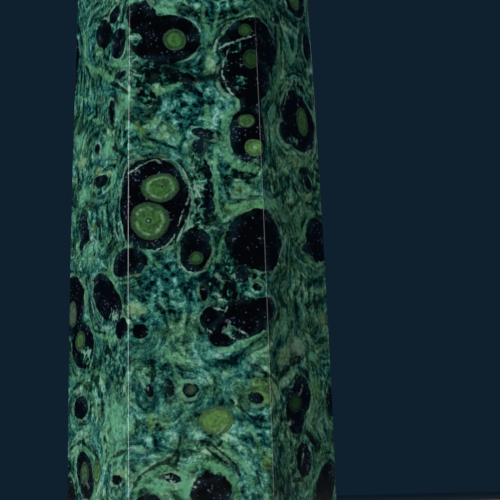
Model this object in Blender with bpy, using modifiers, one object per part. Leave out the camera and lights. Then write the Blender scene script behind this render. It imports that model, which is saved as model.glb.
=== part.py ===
"""A six-sided obelisk, or tower, cut and polished from one piece of orbicular green jasper.

It stands on a flat base. Its six side faces are slightly domed from base to shoulder, as hand grinding
leaves them, and six facets close it in a point. Metres, +Z up, origin at the centre of the base.
The front face looks along -Y.
"""

import math

import bmesh
import bpy

MM = 0.001

# Driving dimensions
SIDES = 6
BASE_CORNER_RADIUS = 28.0 * MM      # centre to corner at the foot, which is also the width of a face there
SHOULDER_HEIGHT = 152.0 * MM        # where the side faces end and the point begins
POINT_HEIGHT = 28.0 * MM            # from the shoulder to the apex
FOOT_TAPER = 0.0063                 # how fast the corner radius shrinks with height, at the foot
DOMING = 0.160                      # metres of radius lost as well, per square metre of height
SIDE_BANDS = 8                      # flat bands that follow the doming of each side face
ARRIS_WIDTH = 0.22 * MM             # how far the polished rounding of each edge runs onto the faces beside it
ARRIS_STEPS = 2
ARRIS_FROM_ANGLE = math.radians(25) # edges that turn by less than this are bands of one face and stay as they are
MERGE_WITHIN = 0.01 * MM

JASPER_GREEN = (0.035, 0.095, 0.070, 1.0)
POLISH_ROUGHNESS = 0.12


def corner_radius(height):
    """Distance from the axis to the edges between the side faces, at this height."""
    return BASE_CORNER_RADIUS - FOOT_TAPER * height - DOMING * height ** 2


def clear_scene():
    for old in list(bpy.data.objects):
        bpy.data.objects.remove(old, do_unlink=True)


def collection(name):
    made = bpy.data.collections.new(name)
    bpy.context.scene.collection.children.link(made)
    return made


def jasper_material():
    material = bpy.data.materials.new("jasper")
    material.use_nodes = True
    shader = material.node_tree.nodes["Principled BSDF"]
    shader.inputs["Base Color"].default_value = JASPER_GREEN
    shader.inputs["Roughness"].default_value = POLISH_ROUGHNESS
    shader.inputs["Metallic"].default_value = 0.0
    return material


def profile_points():
    """The outline of one edge, from the apex down the outside to the centre of the base, as (radius, height)."""
    apex = (0.0, SHOULDER_HEIGHT + POINT_HEIGHT)
    heights = [SHOULDER_HEIGHT * (1 - band / SIDE_BANDS) for band in range(SIDE_BANDS + 1)]
    edge = [(corner_radius(height), height) for height in heights]
    base_centre = (0.0, 0.0)
    return [apex, *edge, base_centre]


def profile_mesh():
    mesh = bpy.data.meshes.new("obelisk")
    shape = bmesh.new()
    points = [shape.verts.new((radius, 0.0, height)) for radius, height in profile_points()]
    for upper, lower in zip(points, points[1:]):
        shape.edges.new((upper, lower))
    shape.to_mesh(mesh)
    shape.free()
    return mesh


def add_obelisk(parts):
    """The whole stone: the edge's outline turned in six steps, so that each step is one flat side."""
    stone = bpy.data.objects.new("obelisk", profile_mesh())
    parts.objects.link(stone)
    stone.data.materials.append(jasper_material())

    turn = stone.modifiers.new("six sides", "SCREW")
    turn.axis = "Z"
    turn.steps = SIDES
    turn.render_steps = SIDES
    turn.use_smooth_shade = False
    turn.use_merge_vertices = True
    turn.merge_threshold = MERGE_WITHIN

    arris = stone.modifiers.new("polished edges", "BEVEL")
    arris.width = ARRIS_WIDTH
    arris.segments = ARRIS_STEPS
    arris.limit_method = "ANGLE"
    arris.angle_limit = ARRIS_FROM_ANGLE
    return stone


def main():
    clear_scene()
    add_obelisk(collection("jasper_obelisk"))


main()
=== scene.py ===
"""The looks of the jasper obelisk: polished orbicular jasper, a pale floor, soft light and the camera.

The stone's markings are a solid texture. Pockets, eyes and bands are ellipsoids that lie in the rock, and
the polished faces cut through them, so that a marking runs on over an edge. Their places are in millimetres
on the face that they show on: across from its middle, and up from the foot. Metres, +Z up, everywhere else.
"""
import math
import random

import bmesh
import bpy
from mathutils import Matrix, Vector


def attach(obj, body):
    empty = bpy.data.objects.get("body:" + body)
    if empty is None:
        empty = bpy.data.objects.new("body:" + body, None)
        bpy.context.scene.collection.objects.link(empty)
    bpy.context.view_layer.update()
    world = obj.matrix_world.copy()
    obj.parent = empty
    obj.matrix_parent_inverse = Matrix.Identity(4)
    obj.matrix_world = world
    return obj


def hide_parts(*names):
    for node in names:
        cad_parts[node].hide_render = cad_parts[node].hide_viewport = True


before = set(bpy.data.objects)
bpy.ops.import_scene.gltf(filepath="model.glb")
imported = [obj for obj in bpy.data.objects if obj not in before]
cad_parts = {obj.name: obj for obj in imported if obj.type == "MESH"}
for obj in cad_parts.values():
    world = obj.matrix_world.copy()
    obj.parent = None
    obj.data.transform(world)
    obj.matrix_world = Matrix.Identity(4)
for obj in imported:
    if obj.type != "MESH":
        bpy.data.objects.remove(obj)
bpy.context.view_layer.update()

MM = 0.001

# The stone's shape, as the part has it
SIDES = 6
FOOT_RADIUS = 28.0 * MM                # centre to corner at the foot
SHOULDER_HEIGHT = 152.0 * MM           # where the side faces end and the point begins
POINT_HEIGHT = 28.0 * MM
FOOT_TAPER = 0.0063                    # how fast the corner radius shrinks with height, at the foot
DOMING = 0.160                         # metres of radius lost as well, per square metre of height
SIDE_BANDS = 40                        # finer than the part's, so that the doming reads as one smooth face
ARRIS_WIDTH = 0.22 * MM                # how far the rounding of each edge runs onto the faces beside it
ARRIS_STEPS = 4                        # finer than the part's
ARRIS_FROM_ANGLE = math.radians(25)    # edges that turn by less than this are bands of one face
MERGE_WITHIN = 0.01 * MM
FACE_WEIGHT = 100                      # of 100: how far large faces lead the shading at their corners

# The way each face, or each edge between two faces, looks: degrees round the axis from the front
LOOKS_TO = {
    "front": 0, "right edge": 30, "right": 60, "back right": 120,
    "back": 180, "back left": 240, "left": 300, "left edge": 330,
}
FACES = ("front", "right", "back right", "back", "back left", "left")

# Black pockets: face, across, up, half width, half height, tilt in degrees, anticlockwise from outside
POCKETS = [
    ("front", -5.6, 99.9, 7.2, 5.3, 0),
    ("front", -10.4, 104.8, 3.2, 3.4, 0),
    ("front", -9.0, 92.6, 2.9, 1.7, 0),
    ("front", -2.6, 91.7, 3.4, 0.9, -12),
    ("front", -9.8, 88.0, 1.5, 1.7, 0),
    ("front", 1.9, 80.1, 2.2, 1.0, -12),
    ("right edge", 0.8, 99.0, 7.9, 5.6, 10),
    ("right edge", -1.6, 92.2, 6.5, 5.2, 0),
    ("right edge", -1.8, 86.4, 2.6, 3.6, 0),
    ("right edge", -2.5, 79.8, 4.3, 6.2, 0),
    ("left edge", 5.2, 66.2, 8.3, 10.0, 0),
    ("front", -0.2, 56.6, 3.0, 4.9, -6),
    ("right edge", -0.6, 58.2, 7.4, 6.4, 0),
    ("front", 0.8, 77.4, 1.2, 1.3, 0),
    ("front", 2.1, 73.0, 0.9, 2.8, 18),
    ("front", 2.6, 68.4, 1.1, 2.4, 0),
    ("front", 2.4, 65.0, 1.7, 1.8, 0),
    ("front", 1.3, 62.5, 1.7, 1.3, 0),
    ("left edge", -1.2, 54.3, 5.4, 2.9, 0),
    ("front", 8.6, 42.4, 6.0, 4.0, 20),
    ("front", 4.9, 40.0, 3.2, 3.2, 0),
    ("front", 2.4, 42.6, 1.8, 2.6, 0),
    ("front", 6.4, 47.4, 1.6, 3.4, 0),
    ("front", 8.7, 51.2, 1.5, 1.6, 0),
    ("front", 1.3, 47.6, 0.8, 1.4, 0),
    ("front", 11.6, 48.4, 0.8, 0.8, 0),
    ("right edge", 0.4, 44.6, 3.0, 2.2, 0),
    ("front", -11.2, 40.7, 1.6, 1.5, 0),
    ("front", -1.8, 28.8, 1.5, 1.35, 0),
    ("front", 10.9, 26.9, 1.5, 1.2, -25),
    ("front", -5.5, 29.0, 0.8, 1.3, 0),
    ("front", -9.6, 28.9, 0.9, 1.3, 0),
    ("front", 2.0, 8.8, 4.1, 4.0, 0),
    ("front", -10.2, 6.8, 2.8, 2.4, 0),
    ("front", -5.7, 12.1, 1.9, 0.9, -10),
    ("left", -13.2, 102.0, 2.0, 6.4, 0),
    ("left", 1.4, 104.4, 4.2, 3.0, -25),
    ("left", 8.2, 100.5, 3.3, 3.1, 0),
    ("left", 6.4, 107.4, 2.4, 1.6, 0),
    ("left", 9.4, 93.6, 2.3, 1.0, -8),
    ("left", 5.6, 87.0, 1.2, 2.2, 15),
    ("left", -1.4, 80.3, 1.4, 0.9, 0),
    ("left", 0.8, 73.0, 3.6, 1.3, 0),
    ("left", -6.6, 64.4, 2.0, 3.6, 14),
    ("left", -7.8, 61.0, 1.0, 1.3, 0),
    ("left", -12.0, 48.5, 5.6, 6.5, 0),
    ("left", -7.0, 39.8, 5.6, 4.8, -30),
    ("left", 4.4, 48.2, 7.8, 3.9, -36),
    ("left", 11.0, 41.4, 2.6, 2.2, 0),
    ("left", -7.4, 27.0, 3.3, 2.4, 0),
    ("left", -5.4, 13.2, 3.5, 5.1, 32),
    ("left", -12.9, 9.4, 2.8, 3.6, 0),
    ("left", 9.2, 11.8, 2.4, 1.0, 0),
    ("right", 10.6, 104.2, 1.7, 3.2, 0),
    ("right", 4.2, 86.0, 7.8, 6.5, -8),
    ("right", 6.6, 93.2, 2.2, 1.6, 0),
    ("right", -1.4, 83.0, 3.0, 2.8, 0),
    ("right", 7.2, 73.4, 1.9, 1.2, -15),
    ("right", 10.2, 61.4, 5.1, 4.9, 10),
    ("right", 5.0, 58.8, 2.2, 0.9, 15),
    ("right", -0.2, 28.2, 4.0, 3.8, 0),
    ("right", -3.6, 24.6, 4.0, 4.6, 10),
    ("right", -0.3, 15.1, 3.4, 3.5, 10),
    ("right", 3.9, 19.2, 1.5, 0.7, -35),
    ("right", 13.2, 27.5, 2.2, 3.2, 0),
    ("right", 8.6, 9.2, 3.8, 6.6, -35),
]

# Eyes: face, across, up, half width, half height, tilt, then how bright, how ringed and how yellow they are,
# from 0 to 1. Below 0 the last one is how grey.
EYES = [
    ("front", -3.7, 99.7, 2.5, 2.35, 0, (0.75, 0.0, 0.0)),
    ("front", 10.8, 101.6, 1.4, 1.3, 20, (0.35, 0.0, 0.0)),
    ("front", 11.7, 95.6, 1.8, 2.1, 0, (0.22, 0.0, 0.0)),
    ("front", -7.8, 92.0, 0.9, 0.9, 0, (0.05, 0.0, 0.0)),
    ("front", 10.4, 82.7, 1.7, 1.5, 0, (0.6, 0.9, -0.2)),
    ("front", 11.9, 77.0, 2.0, 1.9, 0, (1.0, 0.0, 0.4)),
    ("front", -7.1, 69.3, 3.7, 2.9, 0, (0.8, 1.0, 0.0)),
    ("front", -9.2, 62.5, 3.9, 3.8, 0, (0.8, 1.0, 0.0)),
    ("front", 0.1, 54.7, 1.35, 1.35, 0, (0.5, 0.0, -0.25)),
    ("front", -1.8, 28.8, 1.0, 0.9, 0, (0.5, 0.0, -0.8)),
    ("front", 3.3, 22.8, 3.4, 2.7, 0, (1.0, 0.35, 0.6)),
    ("left", -12.0, 46.9, 2.0, 2.8, 0, (0.75, 0.4, -1.0)),
    ("left", -8.0, 40.8, 2.5, 2.2, 0, (0.8, 0.0, -0.3)),
    ("left", -5.6, 13.5, 2.0, 2.3, 10, (0.75, 0.0, -0.6)),
    ("left", 0.2, 13.7, 1.8, 2.5, 0, (1.0, 0.7, -0.25)),
    ("right", 6.3, 86.5, 2.9, 3.2, 0, (0.6, 0.3, 0.25)),
    ("right", -3.2, 26.3, 3.0, 1.8, 10, (0.3, 0.0, 0.0)),
    ("right", -0.7, 15.4, 0.8, 1.6, 0, (0.15, 0.0, 0.0)),
]

# Light green bands: face, the points that the band runs through as across and up, width
GREEN_BANDS = [
    ("front", [(2.4, 106.5), (2.6, 103.0), (3.4, 99.6)], 0.8),
    ("front", [(5.6, 106.0), (4.6, 102.5), (3.8, 99.5)], 0.7),
    ("front", [(-9.8, 82.8), (-6.6, 83.0), (-4.0, 81.2), (-3.2, 78.8)], 0.5),
    ("front", [(-9.6, 79.0), (-8.0, 77.6)], 0.7),
    ("front", [(2.8, 85.2), (3.4, 82.4)], 1.3),
    ("front", [(6.4, 27.6), (7.3, 25.0), (8.4, 22.6)], 0.6),
    ("front", [(9.6, 21.8), (10.8, 19.0), (11.8, 16.2)], 0.9),
    ("front", [(4.4, 17.8), (7.4, 15.4), (9.4, 12.4), (10.2, 9.4)], 0.9),
    ("front", [(3.2, 97.6), (3.4, 95.0), (2.4, 92.4)], 1.6),
    ("front", [(-9.4, 88.7), (-6.0, 89.2), (-2.2, 90.8)], 0.9),
    ("front", [(8.4, 87.6), (10.4, 86.0)], 1.1),
    ("front", [(7.8, 85.4), (6.4, 82.4), (5.7, 78.5), (6.4, 75.4), (8.6, 73.3), (12.6, 72.4)], 1.4),
    ("front", [(4.4, 78.0), (3.9, 72.0), (4.4, 67.0), (4.8, 63.0)], 0.8),
    ("front", [(6.4, 61.0), (4.8, 57.6), (4.2, 54.0)], 0.8),
    ("front", [(7.4, 64.6), (10.0, 65.4), (13.0, 65.6)], 2.0),
    ("front", [(-13.0, 56.4), (-9.2, 55.2), (-7.0, 53.0)], 0.9),
    ("front", [(2.4, 38.6), (5.4, 36.4), (8.6, 36.8), (11.2, 39.0), (13.4, 42.0)], 0.6),
    ("front", [(-6.4, 37.0), (-4.8, 33.0), (-3.6, 30.2)], 0.9),
    ("front", [(-4.2, 37.0), (-2.8, 33.6)], 0.5),
    ("front", [(-13.0, 9.0), (-11.4, 11.6), (-8.6, 13.4), (-5.4, 14.4)], 0.9),
    ("front", [(-3.8, 13.0), (-1.0, 14.2), (2.2, 14.0), (4.8, 12.6), (6.4, 10.4), (6.8, 7.4)], 1.5),
    ("front", [(-9.0, 9.8), (-6.6, 9.6)], 1.1),
    ("front", [(-3.2, 10.8), (-3.6, 8.0)], 1.1),
    ("left", [(-8.8, 107.0), (-8.7, 103.0), (-9.0, 99.5)], 1.2),
    ("left", [(-8.0, 100.5), (-3.0, 97.6), (2.0, 95.6), (5.4, 93.6)], 1.6),
    ("left", [(5.0, 96.8), (9.0, 96.4), (13.0, 95.2)], 1.1),
    ("left", [(-11.0, 94.4), (-5.0, 91.6), (1.0, 89.8)], 0.6),
    ("left", [(-7.0, 88.6), (-1.0, 86.2), (2.4, 85.6)], 0.5),
    ("left", [(9.6, 76.4), (7.0, 73.4), (6.2, 70.5), (6.5, 67.0)], 1.2),
    ("left", [(-6.4, 53.4), (-5.0, 49.0), (-3.2, 45.0), (-0.5, 42.0), (3.0, 40.4), (7.6, 40.2)], 1.0),
    ("left", [(0.5, 53.8), (5.4, 53.0), (9.4, 49.0), (12.0, 45.6)], 0.9),
    ("left", [(-13.5, 33.8), (-8.0, 32.8), (-2.0, 33.6), (4.0, 32.4)], 0.9),
    ("left", [(-10.4, 18.4), (-5.0, 18.8), (-1.4, 16.0), (-0.6, 11.0), (-2.0, 8.0)], 0.9),
    ("right", [(-12.6, 104.6), (-9.5, 106.4)], 1.3),
    ("right", [(-2.4, 100.0), (-3.2, 96.0), (-4.6, 92.0), (-8.4, 88.4)], 1.7),
    ("right", [(-13.0, 65.6), (-8.6, 66.2), (-6.0, 65.2)], 1.7),
    ("right", [(13.0, 67.6), (8.0, 67.0), (5.2, 64.4), (4.0, 60.8)], 0.8),
    ("right", [(1.2, 64.6), (1.8, 60.4)], 2.2),
    ("right", [(4.0, 57.2), (7.6, 56.4), (10.0, 55.8), (12.6, 57.6)], 0.7),
    ("right", [(3.8, 38.0), (6.6, 36.0)], 1.2),
    ("right", [(4.0, 33.0), (4.2, 28.0), (2.4, 23.6)], 0.8),
    ("right", [(4.2, 18.0), (4.2, 14.6), (1.2, 10.8)], 0.9),
    ("right", [(9.0, 15.2), (5.0, 12.4), (2.2, 8.4)], 0.7),
]

# Whitish lines and dashes: the same
PALE_LINES = [
    ("front", [(-1.6, 104.6), (0.6, 103.2), (1.6, 101.4)], 0.35),
    ("front", [(0.8, 96.8), (-1.0, 95.4), (-3.2, 94.9)], 0.25),
    ("front", [(-13.2, 72.2), (-10.8, 74.0), (-8.4, 75.0)], 0.35),
    ("front", [(-6.8, 75.2), (-4.6, 74.8), (-2.9, 73.6)], 0.25),
    ("front", [(-2.2, 72.8), (-1.4, 70.6), (-1.3, 68.2), (-1.9, 65.8)], 0.40),
    ("front", [(-2.6, 64.4), (-3.6, 61.6)], 0.25),
    ("front", [(-4.0, 60.0), (-5.6, 58.0), (-8.2, 56.6)], 0.30),
    ("front", [(-6.8, 12.4), (-5.9, 12.2)], 0.6),
    ("front", [(-5.6, 11.6), (-5.0, 11.0)], 0.6),
    ("front", [(-1.4, 10.4), (-1.0, 10.0)], 0.5),
    ("front", [(-0.6, 11.2), (-0.3, 11.2)], 0.4),
    ("front", [(1.2, 9.6), (1.6, 9.2)], 0.4),
    ("front", [(3.6, 44.6), (5.2, 44.2)], 0.35),
    ("front", [(5.4, 43.8), (6.0, 45.0)], 0.3),
    ("front", [(2.0, 40.6), (2.6, 39.8)], 0.4),
    ("front", [(11.5, 77.3), (12.0, 76.9)], 0.6),
    ("front", [(3.5, 20.2), (4.5, 21.1)], 0.3),
    ("front", [(1.2, 19.6), (2.4, 18.8)], 0.5),
    ("front", [(-9.4, 62.5), (-9.2, 62.3)], 0.4),
    ("front", [(4.7, 99.0), (4.2, 97.2)], 0.5),
    ("front", [(3.0, 95.8), (4.0, 95.0), (3.2, 93.8)], 0.7),
    ("front", [(5.6, 98.0), (8.4, 99.3), (12.6, 100.5)], 0.40),
    ("front", [(7.4, 97.4), (6.0, 95.0), (5.9, 92.5), (6.8, 90.0), (8.4, 87.8)], 0.35),
    ("front", [(-0.2, 73.4), (0.6, 70.6)], 0.35),
    ("front", [(0.2, 69.6), (1.7, 68.9)], 0.6),
    ("front", [(0.0, 68.7), (0.7, 67.3)], 0.55),
    ("front", [(-0.8, 66.0), (-0.1, 65.4)], 0.5),
    ("front", [(-1.3, 63.4), (-2.4, 61.4), (-3.8, 58.2)], 0.4),
    ("front", [(2.0, 61.0), (3.8, 60.8)], 0.5),
    ("front", [(-2.9, 53.6), (-1.6, 52.0), (0.4, 51.7), (2.0, 52.4)], 0.30),
    ("front", [(3.8, 51.4), (4.6, 50.0)], 0.8),
    ("front", [(4.1, 47.3), (4.6, 47.0)], 0.7),
    ("front", [(5.0, 40.0), (6.3, 40.5)], 0.6),
    ("front", [(5.8, 40.2), (6.6, 38.8)], 0.6),
    ("front", [(6.2, 41.5), (5.9, 40.5)], 0.35),
    ("front", [(8.2, 40.2), (9.0, 39.8)], 0.4),
    ("front", [(-7.8, 74.9), (-7.0, 74.3)], 0.6),
    ("front", [(7.0, 68.6), (7.8, 67.2), (10.0, 67.0)], 0.45),
    ("front", [(8.0, 70.4), (9.4, 70.2)], 0.5),
    ("front", [(-12.6, 17.6), (-10.6, 17.1)], 1.0),
    ("front", [(-11.2, 31.2), (-10.2, 29.2)], 0.6),
    ("front", [(6.8, 27.2), (7.3, 25.2)], 0.5),
    ("left", [(8.0, 92.3), (13.0, 89.5)], 0.4),
    ("left", [(6.9, 65.6), (7.6, 62.5), (9.2, 59.5)], 0.7),
    ("left", [(-5.0, 61.0), (-2.6, 61.6), (-0.4, 59.8), (-1.2, 57.4), (-4.0, 57.4)], 0.45),
    ("left", [(-4.8, 53.4), (-3.2, 49.0), (-1.0, 45.2), (2.0, 42.6), (5.4, 42.0)], 0.45),
    ("left", [(7.3, 44.6), (8.7, 43.5)], 1.5),
    ("left", [(-7.0, 38.4), (-4.4, 38.0)], 0.6),
    ("left", [(-10.8, 30.6), (-7.8, 30.1)], 0.9),
    ("left", [(-4.8, 11.4), (-3.9, 10.9)], 0.9),
    ("left", [(-4.0, 64.0), (-2.6, 63.4)], 0.7),
    ("right", [(-5.4, 104.9), (-3.0, 105.4)], 0.7),
    ("right", [(8.8, 105.0), (8.6, 101.5)], 0.4),
    ("right", [(3.0, 95.0), (1.4, 92.8), (-0.6, 90.8), (-2.4, 88.0)], 0.5),
    ("right", [(-4.6, 85.0), (-5.4, 82.6), (-4.4, 79.8)], 0.4),
    ("right", [(12.2, 91.0), (12.8, 87.0), (12.0, 82.0), (10.2, 79.4)], 0.5),
    ("right", [(1.8, 82.0), (3.0, 81.2)], 0.8),
    ("right", [(-6.2, 61.5), (-6.0, 58.0), (-7.8, 55.0)], 0.5),
    ("right", [(-6.8, 21.8), (-5.8, 22.6)], 0.9),
    ("right", [(-3.4, 37.2), (-1.4, 37.5)], 2.4),
    ("right", [(-1.6, 37.5), (0.8, 36.9)], 2.0),
    ("right", [(-1.4, 28.0), (-0.4, 29.4)], 0.7),
    ("right", [(-1.2, 14.2), (-0.6, 16.4)], 0.45),
]

# Dark seams: the same
DARK_SEAMS = [
    ("front", [(2.0, 78.2), (1.4, 75.5), (2.1, 72.4)], 1.8),
    ("front", [(2.4, 69.6), (2.7, 66.5)], 1.7),
    ("front", [(-13.0, 10.4), (-11.4, 12.8), (-8.8, 14.4), (-6.0, 15.6), (-4.4, 17.6), (-3.8, 20.0)], 0.65),
    ("front", [(-7.0, 14.8), (-5.2, 14.4), (-4.4, 16.2)], 0.7),
    ("front", [(-2.4, 17.2), (-1.0, 16.6)], 0.6),
    ("front", [(0.2, 18.8), (2.2, 18.0), (4.6, 16.0), (6.6, 14.0), (7.6, 11.6)], 0.6),
    ("front", [(1.2, 17.2), (3.0, 15.8), (5.0, 14.4)], 0.6),
    ("front", [(10.8, 13.0), (11.6, 10.4)], 0.6),
    ("front", [(-9.2, 34.8), (-8.6, 32.0), (-10.2, 28.6)], 0.8),
    ("front", [(4.0, 34.6), (7.5, 33.8)], 0.6),
    ("front", [(10.2, 33.4), (12.6, 32.2)], 1.4),
    ("front", [(-6.0, 30.6), (-5.2, 28.4)], 1.8),
    ("front", [(6.2, 26.4), (8.0, 24.8), (10.0, 23.2), (12.8, 22.4)], 0.65),
    ("front", [(9.8, 19.6), (10.2, 17.8)], 0.9),
    ("front", [(1.4, 51.0), (2.2, 48.0)], 2.1),
    ("front", [(5.8, 50.6), (7.4, 49.4)], 2.1),
    ("front", [(-13.0, 91.0), (-9.6, 89.6), (-7.6, 86.6)], 1.0),
    ("front", [(-1.6, 90.0), (1.6, 91.6), (5.0, 92.0)], 1.5),
    ("left", [(1.6, 98.0), (3.2, 96.6), (5.0, 95.2)], 0.9),
    ("left", [(-7.7, 99.9), (-6.5, 98.9)], 0.9),
    ("left", [(5.0, 92.9), (8.8, 91.3), (12.6, 88.9)], 1.0),
    ("left", [(7.6, 93.8), (9.8, 93.2)], 1.8),
    ("left", [(6.6, 88.4), (5.4, 86.4), (6.2, 84.0)], 1.4),
    ("left", [(6.0, 79.0), (9.0, 77.6), (12.8, 75.4)], 0.9),
    ("left", [(-1.8, 79.8), (-0.4, 79.6)], 1.5),
    ("left", [(-8.4, 23.5), (-5.6, 23.3)], 0.7),
    ("left", [(-12.4, 18.7), (-7.0, 20.0), (-2.4, 18.0), (0.6, 16.6)], 0.8),
    ("left", [(-3.9, 47.0), (-1.5, 42.6), (2.4, 41.4)], 0.6),
    ("left", [(8.5, 16.5), (12.4, 17.2)], 1.0),
    ("right", [(-3.4, 107.0), (-4.2, 101.0), (-5.4, 96.6)], 1.4),
    ("right", [(-1.2, 104.0), (-2.0, 99.0)], 0.8),
    ("right", [(2.4, 91.4), (-1.5, 89.6), (-4.0, 87.4)], 0.9),
    ("right", [(4.8, 75.2), (8.4, 75.8)], 1.5),
    ("right", [(6.0, 73.0), (8.4, 72.4)], 1.4),
    ("right", [(-9.4, 67.6), (-6.6, 68.4), (-3.8, 70.0)], 0.9),
    ("right", [(-5.0, 34.3), (-1.6, 35.2), (0.9, 36.1)], 1.5),
    ("right", [(-11.0, 31.8), (-8.0, 32.4), (-5.6, 33.4)], 1.4),
    ("right", [(1.2, 20.8), (3.8, 19.8), (5.2, 17.2)], 1.5),
    ("right", [(-5.2, 11.2), (-2.0, 11.2)], 1.0),
    ("right", [(-8.2, 5.0), (-8.4, 9.0)], 1.4),
]

# Patches of another colour: face, across, up, half width, half height, tilt
OLIVE = [
    ("front", -11.0, 81.6, 0.7, 1.5, 30),
    ("front", 12.2, 28.4, 2.6, 2.6, 0),
    ("front", -9.6, 22.8, 0.6, 1.5, 10),
    ("front", 8.9, 68.6, 0.7, 1.0, 0),
    ("front", 12.8, 14.6, 0.7, 1.6, 0),
    ("front", 9.5, 65.0, 3.8, 1.1, 6),
    ("left", -2.2, 64.1, 1.4, 0.7, -20),
    ("right", 6.2, 29.6, 1.2, 1.8, 0),
]
MINT = [
    ("left", -10.2, 83.8, 2.6, 1.6, -25),
    ("left", 4.4, 79.4, 2.4, 1.7, 0),
    ("left", -6.6, 71.2, 3.2, 1.8, 0),
    ("left", -4.6, 58.4, 1.6, 2.2, 0),
    ("left", -0.4, 59.4, 1.4, 1.2, 0),
    ("left", 8.9, 21.4, 3.9, 7.4, 10),
    ("left", 10.4, 86.8, 3.0, 2.2, 0),
    ("left", -4.6, 22.7, 1.6, 0.6, 0),
    ("left", 2.3, 20.8, 0.8, 0.9, 0),
    ("left", 3.4, 17.0, 0.8, 1.5, 0),
    ("front", -5.0, 106.4, 2.4, 1.6, 0),
    ("front", -12.2, 100.2, 1.1, 0.7, 0),
    ("front", -12.4, 96.8, 0.8, 1.7, 0),
    ("front", -12.2, 91.4, 0.8, 1.1, 0),
    ("front", -12.2, 88.6, 0.7, 0.7, 0),
    ("front", -13.4, 21.6, 1.0, 1.8, 0),
    ("front", 8.8, 68.6, 1.4, 1.6, 0),
    ("front", -8.2, 10.6, 2.2, 1.2, 0),
    ("front", -3.2, 10.8, 1.3, 2.6, 0),
    ("front", -11.5, 14.4, 1.0, 0.9, 0),
    ("front", -11.3, 17.4, 1.1, 0.6, -15),
    ("right", 2.4, 100.2, 2.0, 1.4, 20),
    ("right", 5.4, 36.4, 1.9, 1.0, 0),
]
BEIGE = [
    ("front", -12.0, 44.8, 1.9, 1.2, 0),
    ("front", 3.6, 94.4, 0.9, 1.7, 0),
    ("front", -7.4, 89.2, 2.0, 0.8, 15),
    ("left", -8.0, 79.0, 2.4, 0.9, 0),
    ("left", 0.2, 75.2, 1.5, 0.9, 0),
    ("left", 4.4, 73.8, 1.0, 0.7, 0),
    ("left", -4.2, 11.2, 0.9, 0.6, 0),
    ("left", 10.6, 13.2, 2.2, 0.6, 0),
    ("right", -1.5, 37.7, 2.7, 1.5, 0),
    ("right", -7.4, 35.6, 3.0, 1.8, 25),
    ("right", 2.6, 76.8, 2.0, 0.9, 0),
    ("right", 7.5, 70.1, 1.8, 0.9, 10),
    ("right", 11.2, 44.6, 1.7, 1.4, 0),
    ("right", -12.0, 28.0, 1.8, 1.6, 0),
]
BROWN = [
    ("front", 12.9, 13.8, 0.4, 0.9, 0),
    ("front", 9.0, 68.5, 0.4, 0.8, 0),
    ("front", -11.4, 40.4, 0.5, 0.5, 0),
    ("right", -4.2, 38.6, 1.2, 0.7, 0),
]

# Where black rock is shot through with whitish flecks: as for a patch
FLECKS = [
    ("front", -7.2, 92.6, 5.6, 3.2, 0),
    ("front", -9.4, 88.0, 2.2, 2.2, 0),
    ("front", -12.2, 95.4, 1.2, 7.0, 0),
    ("front", -11.7, 100.0, 1.7, 1.5, 0),
    ("front", 0.9, 69.4, 1.9, 8.6, 6),
    ("front", 1.6, 62.6, 2.6, 2.4, 0),
    ("front", 4.6, 48.2, 2.6, 4.2, 0),
    ("front", 6.2, 40.1, 1.6, 1.4, 0),
    ("front", 8.0, 98.0, 3.0, 1.3, 10),
    ("front", 9.4, 91.0, 2.0, 1.6, 0),
    ("front", 6.6, 53.4, 1.8, 2.2, 0),
    ("left", -5.0, 37.4, 3.2, 2.0, 0),
    ("left", 7.6, 44.2, 2.4, 1.4, 0),
    ("right", 6.4, 93.5, 5.8, 1.6, -8),
    ("right", 1.8, 81.6, 2.4, 1.0, 0),
    ("right", -6.2, 22.0, 1.0, 1.0, 0),
]

# Where the matrix is a lace of light and dark clots rather than smooth ribbons: as for a patch
LACE = [
    ("front", -5.2, 48.8, 7.0, 6.4, 0),
    ("front", 0.4, 85.8, 7.0, 6.4, 0),
    ("front", 10.8, 49.6, 3.0, 3.0, 0),
    ("front", -11.6, 95.0, 2.2, 8.0, 0),
    ("front", -8.6, 31.6, 3.4, 3.6, 0),
    ("front", -9.4, 20.0, 3.0, 3.4, 0),
    ("left", 7.0, 36.6, 4.0, 3.0, 0),
]

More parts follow.
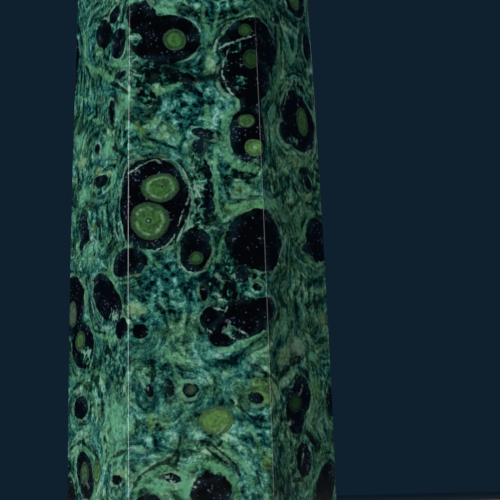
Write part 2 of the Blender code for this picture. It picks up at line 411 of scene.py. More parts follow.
# Lighter and darker stretches of the matrix: as for a patch, then how much lighter. The four that are about a
# face wide are painted light: the foot of the front, left and right faces lighter, where light bounced from
# the floor falls, and the top of the front darker.
TONES_AND_PAINTED_LIGHT = [
    ("front", -5.6, 36.4, 4.0, 3.0, 0, 0.04),
    ("front", 2.0, 33.0, 4.4, 3.0, 0, 0.04),
    ("front", -9.6, 18.4, 2.8, 2.2, 0, -0.09),
    ("front", 8.6, 10.0, 3.0, 2.6, 0, -0.06),
    ("front", -12.2, 44.8, 2.2, 1.4, 0, 0.12),
    ("front", -11.7, 100.2, 1.6, 1.4, 0, 0.10),
    ("front", 3.6, 95.0, 1.6, 3.0, 0, 0.12),
    ("front", -7.6, 89.6, 2.8, 1.2, 0, 0.10),
    ("front", 6.0, 40.0, 1.2, 0.9, 0, 0.02),
    ("front", 0.4, 85.6, 6.5, 5.0, 0, 0.06),
    ("front", -6.8, 80.8, 4.4, 2.8, 0, -0.05),
    ("front", 0.4, 68.6, 1.0, 2.4, 6, 0.04),
    ("front", 2.6, 66.0, 1.4, 6.0, 0, -0.08),
    ("front", -12.2, 94.0, 1.1, 7.0, 0, 0.06),
    ("front", -8.8, 33.4, 3.4, 3.0, 0, -0.03),
    ("front", 6.4, 34.6, 4.0, 1.6, 0, -0.04),
    ("front", -3.2, 40.6, 3.4, 5.6, 0, 0.05),
    # Painted shade: the top of the front darker
    ("front", 0.6, 95.0, 12.0, 10.0, 0, -0.09),
    ("front", 8.6, 70.4, 4.4, 3.2, 0, -0.07),
    ("front", 4.0, 50.0, 4.0, 3.4, 0, -0.06),
    # Painted light: the foot of the front lighter, where the floor's bounced light falls
    ("front", 0.0, 14.0, 14.0, 12.0, 0, 0.06),
    ("front", 4.8, 23.0, 5.0, 4.0, 0, 0.03),
    # Painted light: the foot of the left face lighter, the same way
    ("left", 0.0, 18.0, 14.0, 14.0, 0, 0.08),
    ("left", -4.0, 88.0, 8.0, 5.0, 0, -0.03),
    ("left", 4.8, 64.0, 3.0, 6.0, 0, -0.06),
    ("left", -4.8, 37.6, 2.4, 1.6, 0, 0.08),
    ("left", 8.0, 44.0, 1.6, 1.0, 0, 0.12),
    ("right", -6.0, 72.0, 7.0, 6.0, 0, 0.02),
    # Painted light: the lower right face lighter, the same way
    ("right", 2.0, 30.0, 12.0, 18.0, 0, 0.03),
]

# Greener or bluer stretches of the matrix: as for a patch, then how much greener
HUES = [
    ("front", -6.6, 81.0, 4.4, 3.0, 0, 0.10),
    ("front", -8.0, 22.4, 2.8, 2.6, 0, 0.32),
    ("front", 8.8, 10.0, 3.6, 3.4, 0, -0.25),
    ("front", -9.6, 19.6, 4.6, 6.0, 0, -0.20),
    ("front", 9.6, 19.0, 3.6, 6.0, 0, -0.20),
    ("front", -5.6, 48.4, 7.0, 5.6, 0, -0.20),
    ("front", -4.2, 40.0, 4.4, 5.4, 0, 0.08),
    ("front", -11.0, 38.0, 3.0, 5.0, 0, -0.08),
    ("front", 0.4, 85.8, 7.0, 6.0, 0, -0.20),
    ("front", 4.4, 31.4, 7.4, 6.0, 0, -0.07),
    ("front", 8.0, 70.0, 5.0, 3.0, 0, 0.05),
    ("front", 0.0, 12.0, 14.0, 8.0, 0, 0.12),
    ("right", 0.0, 40.0, 16.0, 70.0, 0, 0.10),
    ("right", 1.2, 62.2, 2.8, 3.8, 0, 0.3),
]

# The pockets that are made up, for the far half of the stone and for above what the photograph shows.
# Lengths are in millimetres, and a pair of numbers is the least and the most.
PHOTO_TOP = 108.0                      # up the stone
HIDDEN_POCKETS = 84
SEED = 29
HEIGHTS = (3.0, 172.0)                 # of a pocket's middle, up the stone
HALF_WIDTHS = (1.3, 1.8, 2.6, 3.4, 4.4, 5.4)
WIDTH_SPREAD = (0.9, 1.15)             # times one of these half widths
TALLNESS = (0.85, 1.6)                 # a pocket's half height over its half width
MOST_TILT_STEPS = 4
CLEARANCE = 0.96                       # least distance between two middles, over the sum of their sizes
EYE_FROM_SIZE = 1.6                    # smaller pockets have no eye
EYE_CHANCE = 0.62
EYE_SHARE = (0.34, 0.58)               # of its pocket's half width
EYE_RISE = (-0.25, 0.25)               # above its pocket's middle, over the half height
EYE_TALLNESS = (0.85, 1.15)
EYE_BRIGHTNESS = (0.3, 0.95)
EYE_RINGS = (0.0, 0.3, 0.7, 1.0)       # one of these
EYE_YELLOWS = (0.0, 0.0, 0.3, 0.8)     # one of these

# How the ellipsoids are laid and measured
MERGE_GAP = 0.8                        # mm between two pockets that run together
LEAST_DEPTH = 0.8                      # mm that a marking goes into the rock, at the least
TILT_STEP = 10                         # degrees, for the tilts of bands and of made-up pockets
STRETCH_REACH = 0.58                   # a stretch's half length over the distance between its two points
STRETCH_END = 0.3                      # the band's width times this is added to that half length
TONE_FADE = (1.35, 0.35)               # radii at which a change of tone or hue begins and is full
PATCH_FADE = (1.25, 0.6)               # the same, for flecks and lace

# The rock
WARP = 1.2                             # mm, twice the most that a marking is pushed along each axis
RIBBON_SCALE = 0.17                    # ribbons to a millimetre
RIBBON_DRIFT = 2.2                     # ribbons, from one end to the other of their wandering
RIBBON_FLOW = (0.40, 0.26, 0.34)       # ribbons to a millimetre away from a pocket, so that they run round it
REFRACTION = 1.54
ROUGHNESS = (0.10, 0.20)               # where the noise that makes the lace is 0 and where it is 1

# The room
FLOOR_SIZE = 20.0                      # metres from its middle to its sides
FLOOR_COLOUR = (0.62, 0.61, 0.59, 1.0)
FLOOR_ROUGHNESS = 0.8
LIGHTS_AIM = 0.4 * SHOULDER_HEIGHT

# The camera, found from the stone's edges in the photograph
PHOTO_WIDTH = 500                      # pixels
FOCAL_LENGTH = 1504.6                  # pixels
HORIZON = 497                          # the photograph's row at the camera's height
CAMERA_DISTANCE = 316.9 * MM           # from the stone's axis
CAMERA_HEIGHT = 8.0 * MM
CAMERA_AZIMUTH = math.radians(0.488)
CAMERA_TURN = math.radians(-2.024)     # the stone stands left of the picture's middle
CAMERA_ROLL = math.radians(-1.433)
NEAREST_SEEN = 0.01                    # metres
FARTHEST_SEEN = 100


def shade(red, green, blue):
    """A colour as it shows on a screen, 0 to 255 each, turned into the linear colour that shaders use."""
    shown = [channel / 255 for channel in (red, green, blue)]
    return tuple(c / 12.92 if c <= 0.04045 else ((c + 0.055) / 1.055) ** 2.4 for c in shown) + (1.0,)


def grey(level):
    """A linear grey, which multiplies a colour's lightness and may be above 1."""
    return (level, level, level, 1.0)


def corner_radius(height):
    """Distance from the axis to the edges between the faces, at this height. It is also a face's width."""
    if height > SHOULDER_HEIGHT:
        return corner_radius(SHOULDER_HEIGHT) * (SHOULDER_HEIGHT + POINT_HEIGHT - height) / POINT_HEIGHT
    return FOOT_RADIUS - FOOT_TAPER * height - DOMING * height ** 2


def reach(facing, up):
    """Millimetres from the axis to the surface, towards a face's middle or towards an edge."""
    radius = corner_radius(up * MM) / MM
    return radius * math.cos(math.pi / SIDES) if facing in FACES else radius


def on_surface(facing, across, up):
    """The same place in the stone's own millimetres."""
    ahead = Vector((across, -reach(facing, up), up))
    return Matrix.Rotation(math.radians(LOOKS_TO[facing]), 3, "Z") @ ahead


def mean_size(half_width, half_height):
    return math.sqrt(half_width * half_height)


def made_up_eye(draw, facing, across, up, half_width, half_height, tilt):
    """An eye near the middle of this pocket."""
    iris = half_width * draw.uniform(*EYE_SHARE)
    rise = half_height * draw.uniform(*EYE_RISE)
    kind = (draw.uniform(*EYE_BRIGHTNESS), draw.choice(EYE_RINGS), draw.choice(EYE_YELLOWS))
    return (facing, across, up + rise, iris, iris * draw.uniform(*EYE_TALLNESS), tilt, kind)


def scattered_pockets():
    """Made-up pockets and the eyes in them, for where the photograph doesn't reach, clear of each other."""
    draw = random.Random(SEED)
    taken = [(on_surface(*pocket[:3]), mean_size(*pocket[3:5])) for pocket in POCKETS]
    pockets, eyes = [], []
    while len(pockets) < HIDDEN_POCKETS:
        facing = draw.choice(FACES)
        up = draw.uniform(*HEIGHTS)
        across = draw.uniform(-0.5, 0.5) * corner_radius(up * MM) / MM
        half_width = draw.choice(HALF_WIDTHS) * draw.uniform(*WIDTH_SPREAD)
        half_height = half_width * draw.uniform(*TALLNESS)
        tilt = TILT_STEP * draw.randint(-MOST_TILT_STEPS, MOST_TILT_STEPS)
        size = mean_size(half_width, half_height)
        place = on_surface(facing, across, up)
        seen = place.y < half_width and up - half_height < PHOTO_TOP
        if seen or any((place - other).length < CLEARANCE * (size + gap) for other, gap in taken):
            continue
        taken.append((place, size))
        pockets.append((facing, across, up, half_width, half_height, tilt))
        if size > EYE_FROM_SIZE and draw.random() < EYE_CHANCE:
            eyes.append(made_up_eye(draw, *pockets[-1]))
    return pockets, eyes


def rounded_off(points):
    """The same line with a point more between each two, where a smooth curve through them runs."""
    ends = [points[0], *points, points[-1]]
    curve = [points[0]]
    for before, first, second, after in zip(ends, ends[1:], ends[2:], ends[3:]):
        middle = [(9 * (b + c) - a - d) / 16 for a, b, c, d in zip(before, first, second, after)]
        curve += [tuple(middle), second]
    return curve


def segments(bands):
    """One long thin ellipsoid for each stretch of each band."""
    found = []
    for facing, corners, width in bands:
        points = rounded_off(corners) if len(corners) > 2 else corners
        for (across, up), (next_across, next_up) in zip(points, points[1:]):
            run, rise = next_across - across, next_up - up
            half_length = math.hypot(run, rise) * STRETCH_REACH + width * STRETCH_END
            middle = ((across + next_across) / 2, (up + next_up) / 2)
            tilt = TILT_STEP * round(math.degrees(math.atan2(rise, run)) / TILT_STEP)
            found.append((facing, *middle, half_length, width / 2, tilt))
    return found


class Graph:
    """Short ways of adding nodes to one node tree. All but node() return the new node's output."""

    def __init__(self, tree):
        self.tree = tree

    def node(self, kind, inputs=(), **settings):
        made = self.tree.nodes.new(kind)
        for name, value in settings.items():
            setattr(made, name, value)
        for socket, value in dict(inputs).items():
            if isinstance(value, bpy.types.NodeSocket):
                self.tree.links.new(value, made.inputs[socket])
            else:
                made.inputs[socket].default_value = value
        return made

    def number(self, operation, *values):
        return self.node("ShaderNodeMath", enumerate(values), operation=operation).outputs[0]

    def vector(self, operation, *values, **named):
        inputs = dict(enumerate(values)) | named
        made = self.node("ShaderNodeVectorMath", inputs, operation=operation)
        return made.outputs["Value" if operation == "LENGTH" else "Vector"]

    def noise(self, place, scale, detail, roughness=0.5, distortion=0.0, output="Fac"):
        """Noise from 0 to 1, with this many lumps to a unit of place, and finer ones, detail times over."""
        inputs = {"Vector": place, "Scale": scale, "Detail": detail}
        inputs |= {"Roughness": roughness, "Distortion": distortion}
        return self.node("ShaderNodeTexNoise", inputs).outputs[output]

    def ramp(self, position, stops):
        """The colour at this position between the stops."""
        made = self.node("ShaderNodeValToRGB", {"Fac": position})
        elements = made.color_ramp.elements
        while len(elements) > 1:
            elements.remove(elements[-1])
        for number, (at, colour) in enumerate(stops):
            element = elements[0] if number == 0 else elements.new(at)
            element.position = at
            element.color = colour
        return made.outputs["Color"]

    def between(self, value, low, high):
        """0 below low and 1 above high, smooth between them. With low above high it runs the other way."""
        inputs = {"Value": value, "From Min": low, "From Max": high}
        return self.node("ShaderNodeMapRange", inputs, interpolation_type="SMOOTHSTEP").outputs["Result"]

    def mix(self, share, first, second, blend="MIX"):
        inputs = {"Fac": share, "Color1": first, "Color2": second}
        return self.node("ShaderNodeMixRGB", inputs, blend_type=blend).outputs["Color"]

    def multiply(self, colour, other):
        return self.mix(1.0, colour, other, "MULTIPLY")

    def offset(self, value, noise, amount):
        """The value, moved up and down by a noise that runs from 0 to 1."""
        return self.number("MULTIPLY_ADD", self.number("SUBTRACT", noise, 0.5), amount, value)


class Rock:
    """Where a shading point lies, in millimetres, as seen from each face in turn."""

    def __init__(self, graph, place, number):
        self.graph = graph
        self.place = place
        self.number = number
        self.turned = {}

    def turn(self, place, axis, degrees, centre):
        inputs = {"Vector": place, "Angle": math.radians(degrees), "Center": centre}
        return self.graph.node("ShaderNodeVectorRotate", inputs, rotation_type=axis).outputs[0]

    def seen_from(self, facing, tilt):
        """The place with the stone turned so that this face is in front, then tilted.

        The centre of turning moves along the turning axis from list to list, which changes no result. Without
        it the renderer would take the lists' turned places for one and keep them all at once, out of memory.
        """
        if (facing, tilt) not in self.turned:
            if tilt:
                found = self.turn(self.seen_from(facing, 0), "Y_AXIS", tilt, (0, self.number, 0))
            else:
                found = self.turn(self.place, "Z_AXIS", -LOOKS_TO[facing], (0, 0, self.number))
            self.turned[facing, tilt] = found
        return self.turned[facing, tilt]

    def radius(self, facing, across, up, half_width, half_height, tilt):
        """Distance from an ellipsoid's middle: 1 on its surface, less inside it, more outside."""
        centre = Matrix.Rotation(math.radians(tilt), 3, "Y") @ Vector((across, -reach(facing, up), up))
        half_depth = half_width
        if facing in FACES:
            half_depth = max(min(half_width, half_height), LEAST_DEPTH)
        scale = Vector((1 / half_width, 1 / half_depth, 1 / half_height))
        place = self.seen_from(facing, tilt)
        return self.graph.vector("LENGTH", self.graph.vector("MULTIPLY_ADD", place, scale, -centre * scale))


def least_radius(graph, rock, blobs):
    """The least of the ellipsoids' radii."""
    least = None
    for blob in blobs:
        radius = rock.radius(*blob)
        least = radius if least is None else graph.number("MINIMUM", least, radius)
    return {"Value": least}


def least_gap(graph, rock, blobs):
    """Distance in millimetres to the nearest ellipsoid, below 0 inside. Close ones run together."""
    nearest = None
    for blob in blobs:
        size = mean_size(*blob[3:5])
        gap = graph.number("MULTIPLY_ADD", rock.radius(*blob), size, -size)
        nearest = gap if nearest is None else graph.number("SMOOTH_MIN", nearest, gap, MERGE_GAP)
    return {"Value": nearest}


def summed_changes(graph, rock, blobs):
    """How much lighter, or how much greener, the matrix is here than elsewhere."""
    total = 0.0
    for *blob, change in blobs:
        fade = graph.between(rock.radius(*blob), *TONE_FADE)
        total = graph.number("MULTIPLY_ADD", fade, change, total)
    return {"Value": total}


def most_fade(graph, rock, blobs):
    """1 inside any of the ellipsoids, falling to 0 around it."""
    most = None
    for blob in blobs:
        fade = graph.between(rock.radius(*blob), *PATCH_FADE)
        most = fade if most is None else graph.number("MAXIMUM", most, fade)
    return {"Value": most}


def nearest_eye(graph, rock, eyes):
    """The radius in the nearest eye, and that eye's brightness, rings and yellowness as a colour."""
    nearest, kind = None, None
    for *blob, (bright, ringed, yellow) in eyes:
        radius = rock.radius(*blob)
        # A colour's numbers stay above 0 here, and yellowness runs from -1 to 1, so it is halved and moved up
        look = (bright, ringed, 0.5 + yellow / 2, 1.0)
        if nearest is None:
            nearest, kind = radius, look
        else:
            kind = graph.mix(graph.number("LESS_THAN", radius, nearest), kind, look)
            nearest = graph.number("MINIMUM", nearest, radius)
    return {"Value": nearest, "Kind": kind}


def field(parent, place, name, measure, blobs):
    """A node group that measures the ellipsoids of one list, and its outputs where it is put to use."""
    tree = bpy.data.node_groups.new(name, "ShaderNodeTree")
    tree.interface.new_socket("Place", in_out="INPUT", socket_type="NodeSocketVector")
    graph = Graph(tree)
    entry = graph.node("NodeGroupInput")
    # Those that are seen the same way come together, so that few turned places are in use at a time
    in_turn = sorted(blobs, key=lambda blob: (blob[0], blob[5]))
    rock = Rock(graph, entry.outputs["Place"], len(bpy.data.node_groups))
    measured = measure(graph, rock, in_turn)
    for output in measured:
        kind = "NodeSocketColor" if output == "Kind" else "NodeSocketFloat"
        tree.interface.new_socket(output, in_out="OUTPUT", socket_type=kind)
    graph.node("NodeGroupOutput", measured)
    return parent.node("ShaderNodeGroup", {"Place": place}, node_tree=tree, name=name).outputs


def matrix_colour(g, warped, place, pocket, lace, grain, lighter):
    """The green and teal rock between the pockets: ribbons that flow round them, and lacy clots."""
    drift = g.noise(place, 0.11, detail=2.0, output="Color")
    scaled = g.vector("SCALE", place, Scale=RIBBON_SCALE)
    drifted = g.vector("MULTIPLY_ADD", drift, (RIBBON_DRIFT, RIBBON_DRIFT, RIBBON_DRIFT), scaled)
    outward = g.vector("SCALE", RIBBON_FLOW, Scale=pocket)
    ribbons = g.noise(g.vector("ADD", drifted, outward), 1.0, detail=3.0, roughness=0.55, distortion=0.4)
    zones = field(g, warped, "lace", most_fade, LACE)["Value"]
    zones = g.number("MAXIMUM", zones, g.between(g.noise(place, 0.09, detail=1.0), 0.5, 0.66))
    tone = g.offset(0.5, ribbons, g.number("MULTIPLY_ADD", zones, -0.5, 1.15))
    tone = g.offset(tone, lace, g.number("MULTIPLY_ADD", zones, 1.15, 0.35))
    tone = g.offset(tone, grain, 0.7)
    # The listed tones, painted light among them: the foot of the faces lighter, the top of the front darker
    tone = g.number("ADD", tone, lighter)

    teal = g.ramp(tone, [
        (0.22, shade(0, 6, 14)),
        (0.31, shade(2, 28, 34)),
        (0.41, shade(12, 62, 60)),
        (0.50, shade(31, 92, 84)),
        (0.58, shade(54, 120, 108)),
        (0.69, shade(93, 158, 140)),
        (0.82, shade(146, 204, 186)),
    ])
    green = g.ramp(tone, [
        (0.22, shade(2, 8, 8)),
        (0.31, shade(8, 32, 26)),
        (0.41, shade(28, 68, 50)),
        (0.50, shade(51, 95, 71)),
        (0.58, shade(72, 122, 91)),
        (0.69, shade(107, 160, 123)),
        (0.82, shade(160, 206, 166)),
    ])
    hue = g.offset(g.noise(place, 0.2, detail=3.0, roughness=0.65), lace, -0.15)
    hue = g.number("ADD", hue, field(g, warped, "hues", summed_changes, HUES)["Value"])
    return g.mix(g.between(hue, 0.36, 0.66), teal, green), tone


def rims(g, place, colour, ragged, tone):
    """A thin light line along a pocket's outline, broken here and there, with a dark line outside it."""
    lightness = g.ramp(tone, [(0.25, grey(0.35)), (0.5, grey(0.9)), (0.8, grey(1.4))])
    uneven = g.between(g.noise(place, 0.26, detail=3.0, roughness=0.6), 0.44, 0.62)
    breadth = g.number("MULTIPLY_ADD", uneven, 0.5, 0.1)
    beyond = g.number("SUBTRACT", ragged, breadth)
    rim = g.number("MULTIPLY", g.between(ragged, -0.05, 0.2), g.between(beyond, 0.35, 0.0))
    share = g.number("MULTIPLY", rim, g.number("MULTIPLY_ADD", uneven, 0.75, 0.1))
    colour = g.mix(share, colour, g.multiply(shade(100, 146, 118), lightness))
    outline = g.number("MULTIPLY", g.between(beyond, 0.1, 0.45), g.between(beyond, 1.0, 0.55))
    share = g.number("MULTIPLY", outline, g.number("MULTIPLY", uneven, 0.6))
    return g.mix(share, colour, shade(8, 30, 28))


def with_patches(g, warped, colour, tone, frayed, grain):
    """The colour with the listed patches, bands and seams over it."""
    grained = g.offset(tone, grain, 0.6)
    lightness = g.ramp(grained, [(0.28, grey(0.4)), (0.48, grey(0.85)), (0.66, grey(1.25))])
    for name, blobs, tint, strength, raggedness in (
        ("mint", MINT, shade(98, 166, 130), 0.85, 2.2),
        ("olive", OLIVE, shade(88, 132, 72), 0.75, 2.2),
        ("beige", BEIGE, shade(120, 162, 118), 0.8, 2.0),
        ("brown", BROWN, shade(76, 80, 46), 0.7, 2.0),
        ("green bands", segments(GREEN_BANDS), shade(86, 150, 108), 0.75, 3.0),
        ("dark seams", segments(DARK_SEAMS), shade(3, 18, 20), 0.85, 2.6),
    ):
        radius = g.offset(field(g, warped, name, least_radius, blobs)["Value"], frayed, raggedness)
        share = g.number("MULTIPLY", g.between(radius, 1.4, 0.7), strength)
        colour = g.mix(share, colour, g.multiply(tint, lightness))
    return colour


def pocket_colour(g, place, pocket, lace):
    """Black, with navy clouds and purple-grey specks.

    Where the pockets are made up, a thin pale line follows the outline inside it. The photographed faces have
    theirs among the pale lines.
    """
    clouds = g.noise(place, 0.3, detail=3.0, roughness=0.6)
    colour = g.ramp(clouds, [(0.52, shade(2, 3, 5)), (0.64, shade(6, 10, 26)), (0.76, shade(16, 30, 52))])
    murk = g.number("MULTIPLY", g.between(pocket, -2.4, -0.2), g.between(clouds, 0.42, 0.62))
    colour = g.mix(murk, colour, shade(10, 36, 40))
    specks = g.offset(g.noise(place, 1.7, detail=1.0), g.noise(place, 0.3, detail=1.0), 0.45)
    colour = g.mix(g.between(specks, 0.64, 0.78), colour, shade(84, 92, 100))

    wavy = g.offset(pocket, g.noise(place, 0.7, detail=1.0), 0.7)
    line = g.number("MULTIPLY", g.between(wavy, -1.2, -1.0), g.between(wavy, -0.75, -0.95))
    parts = g.node("ShaderNodeSeparateXYZ", {"Vector": place}).outputs
    behind = g.between(parts["Y"], 0.0, 3.0)
    above = g.between(parts["Z"], PHOTO_TOP, PHOTO_TOP + 3.0)
    here = g.between(g.noise(place, 0.13, detail=1.0), 0.46, 0.62)
    shown = g.number("MULTIPLY", here, g.between(lace, 0.40, 0.56))
    share = g.number("MULTIPLY", g.number("MULTIPLY", line, shown), g.number("MAXIMUM", behind, above))
    return g.mix(share, colour, shade(84, 118, 108))


def fleck_colour(g, place, lighter):
    """Black rock with whitish and teal flecks."""
    clots = g.noise(place, 0.75, detail=4.0, roughness=0.66, distortion=0.6)
    # The flecks take the same tones, painted light among them
    return g.ramp(g.number("ADD", clots, lighter), [
        (0.43, shade(1, 4, 8)),
        (0.49, shade(4, 32, 32)),
        (0.54, shade(28, 84, 70)),
        (0.60, shade(84, 144, 118)),
        (0.70, shade(156, 206, 180)),
    ])


def eye_colour(g, eye, place, lace):
    """The eye's colour, with rings that are broken up a little, and how far it covers what is below."""
    fine = g.noise(place, 1.5, detail=2.0, roughness=0.6)
    radius = g.offset(g.offset(eye["Value"], lace, 0.16), fine, 0.12)
    bright, ringed, halved_yellow = g.node("ShaderNodeSeparateColor", {"Color": eye["Kind"]}).outputs
    yellow = g.number("MULTIPLY_ADD", halved_yellow, 2.0, -1.0)
    plain = g.ramp(radius, [
        (0.00, shade(58, 110, 52)),
        (0.40, shade(76, 130, 66)),
        (0.58, shade(70, 120, 62)),
        (0.68, shade(42, 78, 42)),
        (0.78, shade(48, 84, 50)),
        (0.88, shade(66, 102, 72)),
        (1.00, shade(28, 52, 40)),
    ])
    rings = g.ramp(radius, [
        (0.00, shade(160, 184, 150)),
        (0.05, shade(110, 140, 100)),
        (0.09, shade(22, 44, 24)),
        (0.14, shade(40, 76, 38)),
        (0.20, shade(88, 132, 84)),
        (0.30, shade(60, 104, 56)),
        (0.56, shade(66, 110, 60)),
        (0.66, shade(124, 172, 124)),
        (0.72, shade(108, 156, 108)),
        (0.79, shade(54, 96, 54)),
        (0.86, shade(62, 104, 60)),
        (0.91, shade(34, 62, 42)),
        (0.96, shade(70, 96, 74)),
        (1.02, shade(32, 52, 42)),
    ])
    broken = g.number("MULTIPLY", ringed, g.between(g.noise(place, 0.7, detail=2.0), 0.34, 0.56))
    colour = g.mix(broken, plain, rings)

    # Yellow eyes are paler inside, the yellowest with a dark hollow in the middle. Grey ones lose colour.
    colour = g.mix(g.number("MULTIPLY", yellow, 0.6), colour, g.multiply(colour, shade(246, 255, 205)))
    inward = g.number("MULTIPLY", yellow, g.between(radius, 1.3, 0.5))
    colour = g.mix(g.number("MULTIPLY", inward, 0.5), colour, shade(134, 178, 106))
    light = g.node("ShaderNodeRGBToBW", {"Color": colour}).outputs[0]
    colour = g.mix(g.between(yellow, 0.0, -1.3), colour, g.multiply(light, shade(206, 255, 224)))
    hollow_stops = [(0.0, 0.45), (0.2, 0.6), (0.36, 1.1), (0.75, 1.1), (1.0, 1.0)]
    hollow = g.ramp(radius, [(at, grey(level)) for at, level in hollow_stops])
    colour = g.mix(g.between(yellow, 0.5, 0.9), colour, g.multiply(colour, hollow))

    colour = g.multiply(colour, g.ramp(fine, [(0.3, grey(0.5)), (0.7, grey(1.35))]))
    return g.mix(bright, shade(8, 26, 18), colour), g.between(radius, 1.04, 0.95)


def jasper_material():
    """Orbicular jasper: green and teal rock that flows round black pockets, which have green eyes in them."""
    material = bpy.data.materials.new("orbicular_jasper")
    material.use_nodes = True
    g = Graph(material.node_tree)
    place = g.vector("SCALE", g.node("ShaderNodeTexCoord").outputs["Object"], Scale=1 / MM)

    # A gentle warp, so that nothing in the rock is a true ellipse
    wander = g.noise(place, 0.16, detail=1.0, output="Color")
    wander = g.vector("SUBTRACT", wander, (0.5, 0.5, 0.5))
    warped = g.vector("MULTIPLY_ADD", wander, (WARP, WARP, WARP), place)
    lace = g.noise(place, 0.6, detail=3.0, roughness=0.62)
    frayed = g.noise(place, 0.5, detail=4.0, roughness=0.7)
    grain = g.noise(place, 1.3, detail=2.0, roughness=0.8)

    hidden_pockets, hidden_eyes = scattered_pockets()
    pocket = field(g, warped, "pockets", least_gap, POCKETS + hidden_pockets)["Value"]
    fraying = g.number("MULTIPLY_ADD", g.between(g.noise(place, 0.12, detail=1.0), 0.4, 0.62), 2.4, 0.9)
    ragged = g.offset(pocket, frayed, fraying)

    # Lighter and darker stretches, some of them painted light: the foot of the faces lighter and the top of
    # the front darker
    lighter = field(g, warped, "tones and painted light", summed_changes, TONES_AND_PAINTED_LIGHT)["Value"]
    colour, tone = matrix_colour(g, warped, place, pocket, lace, grain, lighter)
    colour = rims(g, place, colour, ragged, tone)
    colour = with_patches(g, warped, colour, tone, frayed, grain)
    colour = g.mix(g.between(ragged, 0.15, -0.15), colour, pocket_colour(g, place, pocket, lace))

    flecks = field(g, warped, "flecks", most_fade, FLECKS)["Value"]
    flecked = g.between(g.offset(flecks, frayed, 1.6), 0.45, 0.75)
    colour = g.mix(g.number("MULTIPLY", flecked, 0.9), colour, fleck_colour(g, place, lighter))

    eye = field(g, warped, "eyes", nearest_eye, EYES + hidden_eyes)
    iris, cover = eye_colour(g, eye, place, lace)
    colour = g.mix(cover, colour, iris)

    lines = field(g, warped, "pale lines", least_radius, segments(PALE_LINES))["Value"]
    strength = g.between(g.noise(place, 0.3, detail=1.0), 0.4, 0.62)
    strength = g.number("MULTIPLY_ADD", strength, 0.55, 0.35)
    share = g.number("MULTIPLY", g.between(g.offset(lines, grain, 5.0), 1.3, 0.5), strength)
    colour = g.mix(share, colour, shade(140, 176, 158))

    shader = g.tree.nodes["Principled BSDF"]
    g.tree.links.new(colour, shader.inputs["Base Color"])
    inputs = {"Value": lace, "To Min": ROUGHNESS[0], "To Max": ROUGHNESS[1]}
    g.tree.links.new(g.node("ShaderNodeMapRange", inputs).outputs["Result"], shader.inputs["Roughness"])
    shader.inputs["IOR"].default_value = REFRACTION
    return material


def linked_object(name, data):
    made = bpy.data.objects.new(name, data)
    bpy.context.scene.collection.objects.link(made)
    return made


def profile_points():
    """The outline of one edge, from the apex down the outside to the centre of the base: radius, height."""
    apex = (0.0, SHOULDER_HEIGHT + POINT_HEIGHT)
    heights = [SHOULDER_HEIGHT * (1 - band / SIDE_BANDS) for band in range(SIDE_BANDS + 1)]
    base_centre = (0.0, 0.0)
    return [apex, *[(corner_radius(height), height) for height in heights], base_centre]


def add_stone():
    """The polished stone, with smooth doming and finely rounded edges, in place of the part's own solid."""
    mesh = bpy.data.meshes.new("polished_obelisk")
    shape = bmesh.new()
    points = [shape.verts.new((radius, 0.0, height)) for radius, height in profile_points()]
    for upper, lower in zip(points, points[1:]):
        shape.edges.new((upper, lower))
    shape.to_mesh(mesh)
    shape.free()
    stone = linked_object("polished_obelisk", mesh)
    mesh.materials.append(jasper_material())

    turn = stone.modifiers.new("six sides", "SCREW")
    turn.axis = "Z"
    turn.steps = SIDES
    turn.render_steps = SIDES
    turn.use_smooth_shade = True
    turn.use_merge_vertices = True
    turn.merge_threshold = MERGE_WITHIN

    arris = stone.modifiers.new("polished edges", "BEVEL")
    arris.width = ARRIS_WIDTH
    arris.segments = ARRIS_STEPS
    arris.limit_method = "ANGLE"
    arris.angle_limit = ARRIS_FROM_ANGLE

    shading = stone.modifiers.new("flat faces", "WEIGHTED_NORMAL")
    shading.weight = FACE_WEIGHT

    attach(stone, "root")
    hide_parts("obelisk")


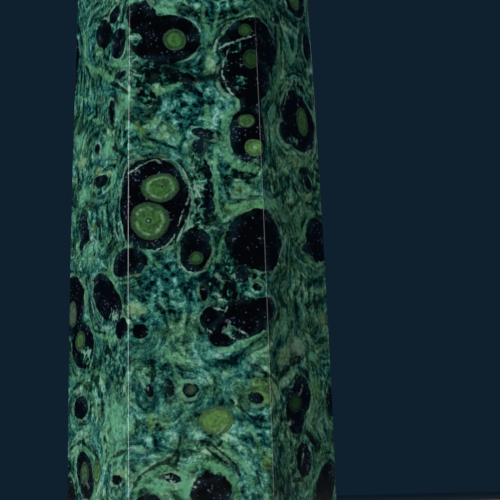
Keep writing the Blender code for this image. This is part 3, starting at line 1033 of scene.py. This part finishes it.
def add_floor():
    mesh = bpy.data.meshes.new("floor")
    shape = bmesh.new()
    bmesh.ops.create_grid(shape, x_segments=1, y_segments=1, size=FLOOR_SIZE)
    shape.to_mesh(mesh)
    shape.free()
    floor = linked_object("floor", mesh)
    material = bpy.data.materials.new("pale_floor")
    material.use_nodes = True
    shader = material.node_tree.nodes["Principled BSDF"]
    shader.inputs["Base Color"].default_value = FLOOR_COLOUR
    shader.inputs["Roughness"].default_value = FLOOR_ROUGHNESS
    mesh.materials.append(material)


def add_soft_light(name, azimuth, height, distance, width, tall, power):
    """A soft box that looks at the stone, in metres. Azimuth 0 is in front of it, and 90 to its right."""
    box = bpy.data.lights.new(name, "AREA")
    box.shape = "RECTANGLE"
    box.size = width
    box.size_y = tall
    box.energy = power
    holder = linked_object(name, box)
    turned = math.radians(azimuth)
    holder.location = (math.sin(turned) * distance, -math.cos(turned) * distance, height)
    aim = Vector((0, 0, LIGHTS_AIM)) - holder.location
    holder.rotation_euler = aim.to_track_quat("-Z", "Y").to_euler()
    holder.visible_camera = False


def add_studio():
    add_floor()
    add_soft_light("key", azimuth=-42, height=0.16, distance=0.75, width=0.40, tall=0.45, power=5.0)
    add_soft_light("fill", azimuth=62, height=0.20, distance=0.85, width=0.40, tall=0.40, power=1.5)
    add_soft_light("back", azimuth=180, height=0.55, distance=0.80, width=0.70, tall=0.50, power=5.0)
    world = bpy.data.worlds.new("studio")
    world.use_nodes = True
    world.node_tree.nodes["Background"].inputs["Color"].default_value = shade(15, 32, 46)
    bpy.context.scene.world = world
    bpy.context.scene.view_settings.view_transform = "Standard"


def add_camera():
    view = bpy.data.cameras.new("photograph")
    view.lens = view.sensor_width * FOCAL_LENGTH / PHOTO_WIDTH
    view.clip_start = NEAREST_SEEN
    view.clip_end = FARTHEST_SEEN
    camera = linked_object("photograph", view)
    pitch = math.atan((HORIZON - PHOTO_WIDTH / 2) / FOCAL_LENGTH)
    place = Matrix.Rotation(CAMERA_AZIMUTH, 4, "Z") @ Vector((0, -CAMERA_DISTANCE, CAMERA_HEIGHT))
    heading = Matrix.Rotation(CAMERA_AZIMUTH + CAMERA_TURN, 4, "Z")
    upward = Matrix.Rotation(math.radians(90) + pitch, 4, "X")
    rolled = Matrix.Rotation(CAMERA_ROLL, 4, "Z")
    camera.matrix_world = Matrix.Translation(place) @ heading @ upward @ rolled
    bpy.context.scene.camera = camera


add_stone()
add_studio()
add_camera()
